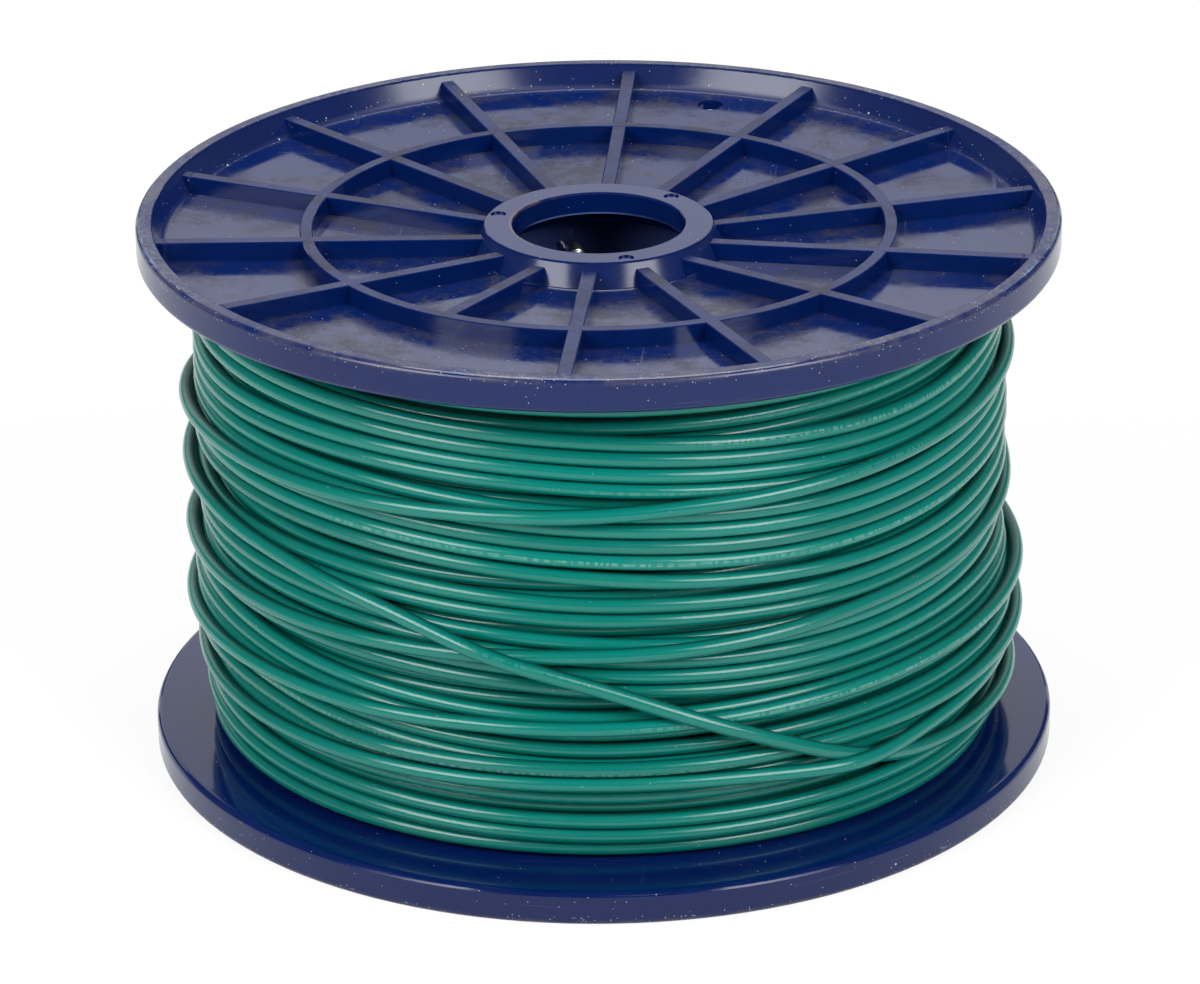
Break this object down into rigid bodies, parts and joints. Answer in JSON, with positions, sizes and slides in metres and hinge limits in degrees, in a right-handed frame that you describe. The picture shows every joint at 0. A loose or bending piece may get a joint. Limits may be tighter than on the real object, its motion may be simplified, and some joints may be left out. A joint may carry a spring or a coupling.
{
  "type": "wire spool",
  "caption": "Ribbed flanged spool wound full with round insulated wire, open along its arbor bore.",
  "frame": {"origin": "centre of the bottom rim's standing plane", "axes": "+Z along the spool's axis, upwards; the first rib lies along +Y"},
  "size_m": [0.1524, 0.1524, 0.0934],
  "materials": {
    "flange_plastic": "glossy navy moulding, scuffed on the rims",
    "barrel_plastic": "dark extruded tube",
    "screw_steel": "zinc-plated",
    "wire_insulation": "glossy green insulation",
    "conductor_copper": "bare copper strands"
  },
  "bodies": {
    "root": {"bottom_flange": "flange_plastic", "top_flange": "flange_plastic", "barrel": "barrel_plastic", "bottom_screws": "screw_steel", "top_screws": "screw_steel", "wire_core": "wire_insulation", "outer_turns": "wire_insulation", "conductor_end": "conductor_copper"}
  },
  "joints": []
}
